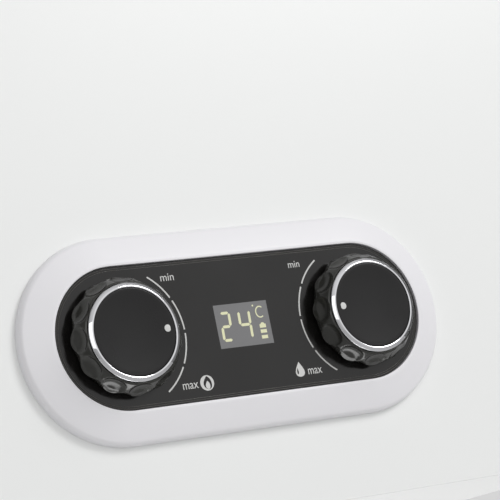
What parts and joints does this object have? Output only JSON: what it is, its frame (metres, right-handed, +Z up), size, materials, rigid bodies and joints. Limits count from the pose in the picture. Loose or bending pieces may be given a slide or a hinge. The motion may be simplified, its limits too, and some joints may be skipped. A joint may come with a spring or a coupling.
{
  "type": "gas water heater",
  "caption": "Wall-hung instantaneous gas water heater with an open flue, two turning knobs, a display and a battery box below.",
  "frame": {"origin": "centre of the back plate's wall face", "axes": "+Z up, +Y into the wall, +X to the right as seen from the room"},
  "size_m": [0.3344, 0.1912, 0.614],
  "materials": {
    "white_enamel": "smooth white stove enamel on sheet steel",
    "white_plastic": "satin white moulded plastic",
    "black_gloss_plastic": "glossy black panel with pale prints",
    "black_knob_plastic": "glossy black plastic with dimples",
    "black_satin_plastic": "satin black plastic",
    "chrome_plating": "polished chrome plating",
    "pale_grey_paint": "pale grey inlay",
    "smoked_window": "smoked display window with lit digits",
    "grey_plastic": "grey moulded plastic",
    "board_green": "circuit board",
    "galvanised_steel": "galvanised sheet steel",
    "zinc_steel": "zinc-plated steel",
    "stainless_steel": "stainless sheet steel",
    "cast_aluminium": "die-cast aluminium",
    "brass": "turned and forged brass",
    "copper": "bright copper",
    "black_rubber": "moulded rubber",
    "white_ceramic": "glazed white ceramic"
  },
  "bodies": {
    "case": {"back_plate": "galvanised_steel", "battery_box": "grey_plastic", "battery_contacts": "zinc_steel", "bezel": "white_plastic", "bottom_tray": "white_enamel", "burner_bars": "stainless_steel", "burner_frame": "stainless_steel", "chamber_brackets": "galvanised_steel", "cold_feed_pipe": "copper", "cold_inlet": "brass", "control_bracket": "galvanised_steel", "control_panel": "black_gloss_plastic", "cover_bolts": "zinc_steel", "cover_screws": "zinc_steel", "diaphragm": "black_rubber", "diaphragm_cover": "brass", "display_board": "board_green", "display_window": "smoked_window", "drain_plug": "brass", "draught_sensor": "black_satin_plastic", "electrodes": "white_ceramic", "exchanger_fins": "copper", "exchanger_tubes": "copper", "flue_collar": "galvanised_steel", "flue_hood": "galvanised_steel", "front_cover": "white_enamel", "gas_gland": "brass", "gas_inlet": "brass", "gas_manifold": "cast_aluminium", "gas_valve_body": "cast_aluminium", "heat_exchanger_shell": "copper", "hot_outlet": "brass", "hot_return_pipe": "copper", "igniter_box": "black_satin_plastic", "injectors": "brass", "microswitch": "black_satin_plastic", "overheat_thermostat": "black_satin_plastic", "rod_guide": "brass", "solenoid_coil": "black_satin_plastic", "switch_bracket": "galvanised_steel", "valve_brackets": "galvanised_steel", "water_gland": "brass", "water_valve_body": "brass"},
    "gas_knob": {"left_knob": "black_knob_plastic", "left_knob_ring": "chrome_plating", "left_knob_cap": "black_satin_plastic", "left_knob_pointer": "pale_grey_paint", "left_spindle": "zinc_steel", "gas_plug": "brass"},
    "water_knob": {"right_knob": "black_knob_plastic", "right_knob_ring": "chrome_plating", "right_knob_cap": "black_satin_plastic", "right_knob_pointer": "pale_grey_paint", "right_spindle": "brass"},
    "water_needle": {"water_needle": "brass"},
    "push_rod": {"push_rod": "brass", "gas_disc": "black_rubber"},
    "switch_lever": {"switch_lever": "zinc_steel"},
    "solenoid_plunger": {"solenoid_plunger": "zinc_steel"},
    "battery_lid": {"battery_lid": "white_plastic"}
  },
  "joints": [
    {"name": "gas_knob_turn", "type": "hinge", "parent": "case", "child": "gas_knob", "pos_m": [-0.0491, -0.185, -0.208], "axis": [0, -1, 0], "range_deg": [-55, 55]},
    {"name": "water_knob_turn", "type": "hinge", "parent": "case", "child": "water_knob", "pos_m": [0.0491, -0.185, -0.208], "axis": [0, -1, 0], "range_deg": [-55, 55]},
    {"name": "water_needle_slide", "type": "slide", "parent": "case", "child": "water_needle", "axis": [0, 1, 0], "range_m": [-0.001, 0.001]},
    {"name": "push_rod_slide", "type": "slide", "parent": "case", "child": "push_rod", "axis": [-1, 0, 0], "range_m": [0, 0.004], "stiffness_N_per_m": 300},
    {"name": "switch_lever_turn", "type": "hinge", "parent": "case", "child": "switch_lever", "pos_m": [-0.006, -0.095, -0.188], "axis": [0, 1, 0], "range_deg": [0, 17]},
    {"name": "solenoid_plunger_slide", "type": "slide", "parent": "case", "child": "solenoid_plunger", "axis": [1, 0, 0], "range_m": [0, 0.003], "stiffness_N_per_m": 200},
    {"name": "battery_lid_hinge", "type": "hinge", "parent": "case", "child": "battery_lid", "pos_m": [-0.092, -0.0906, -0.2724], "axis": [1, 0, 0], "range_deg": [0, 95]}
  ],
  "couplings": [
    {"joint": "water_needle_slide", "follows": "water_knob_turn", "m_per_rad": 0.00095},
    {"joint": "switch_lever_turn", "follows": "push_rod_slide", "rad_per_m": 68}
  ]
}
